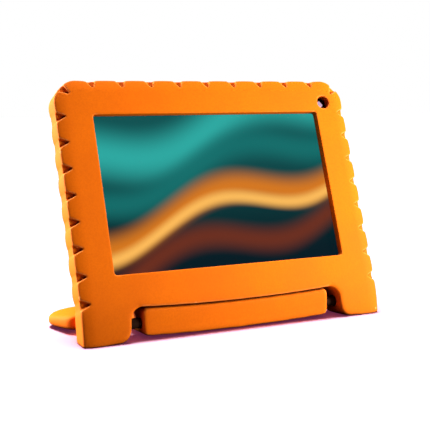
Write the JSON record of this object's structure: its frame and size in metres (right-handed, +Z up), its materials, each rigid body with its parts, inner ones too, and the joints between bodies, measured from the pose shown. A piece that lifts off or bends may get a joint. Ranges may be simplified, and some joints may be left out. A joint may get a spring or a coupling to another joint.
{
  "type": "kids tablet in a foam case with a fold-out stand",
  "caption": "Kids' tablet computer in a scalloped orange foam bumper case, leaning back on moulded feet and on a hinged foam handle that folds out as its stand.",
  "frame": {"origin": "on the floor, under the middle of the whole object as it stands", "axes": "+X to the right as seen from the front, +Y to the back, +Z up"},
  "size_m": [0.204, 0.0694, 0.1493],
  "materials": {
    "orange_foam": "matte moulded EVA foam",
    "steel": "satin",
    "front_glass": "gloss",
    "screen": "lit picture",
    "white_plastic": "gloss",
    "black_plastic": "fine texture",
    "antenna_cable": "satin",
    "circuit_board": "solder mask",
    "chip": "satin",
    "camera_glass": "gloss",
    "cell_wrap": "foil",
    "flex": "satin",
    "seal_foam": "open cell foam"
  },
  "bodies": {
    "case": {"foam_case": "orange_foam", "hinge_pin_left": "steel", "hinge_pin_right": "steel", "foot_bush_left": "black_plastic", "foot_bush_right": "black_plastic", "cover_glass": "front_glass", "lcd_panel": "screen", "light_guide": "white_plastic", "backlight_tray": "steel", "mid_frame": "steel", "rear_cover": "black_plastic", "main_board": "circuit_board", "board_screw_1": "steel", "board_screw_2": "steel", "board_screw_3": "steel", "board_screw_4": "steel", "processor_shield": "steel", "radio_shield": "steel", "processor_chip": "chip", "memory_chip": "chip", "battery_connector": "white_plastic", "microphone": "steel", "headphone_jack": "black_plastic", "usb_socket": "steel", "card_slot": "steel", "battery_cell": "cell_wrap", "battery_lead": "flex", "display_flex": "flex", "touch_flex": "flex", "front_camera": "chip", "front_camera_lens": "camera_glass", "rear_camera": "chip", "rear_camera_window": "camera_glass", "speaker": "chip", "speaker_gasket": "seal_foam", "wifi_antenna": "flex", "antenna_lead": "antenna_cable", "power_switch": "chip", "volume_up_switch": "chip", "volume_down_switch": "chip", "button_board": "circuit_board"},
    "stand": {"stand_loop": "orange_foam", "bar_bush_left": "black_plastic", "bar_bush_right": "black_plastic"},
    "power_button": {"power_button": "black_plastic"},
    "volume_rocker": {"volume_rocker": "black_plastic"}
  },
  "joints": [
    {"name": "stand_hinge", "type": "hinge", "parent": "case", "child": "stand", "pos_m": [0, -0.02473, 0.00893], "axis": [1, 0, 0], "range_deg": [-106.7, 0]},
    {"name": "power_press", "type": "slide", "parent": "case", "child": "power_button", "axis": [-1, 0, 0], "range_m": [0, 0.0004], "stiffness_N_per_m": 1500, "springref_m": -0.0002},
    {"name": "volume_rock", "type": "hinge", "parent": "case", "child": "volume_rocker", "pos_m": [0.0898, 0.00658, 0.08583], "axis": [0, 0.9354, -0.3535], "range_deg": [-3, 3], "stiffness_Nm_per_rad": 0.4}
  ]
}
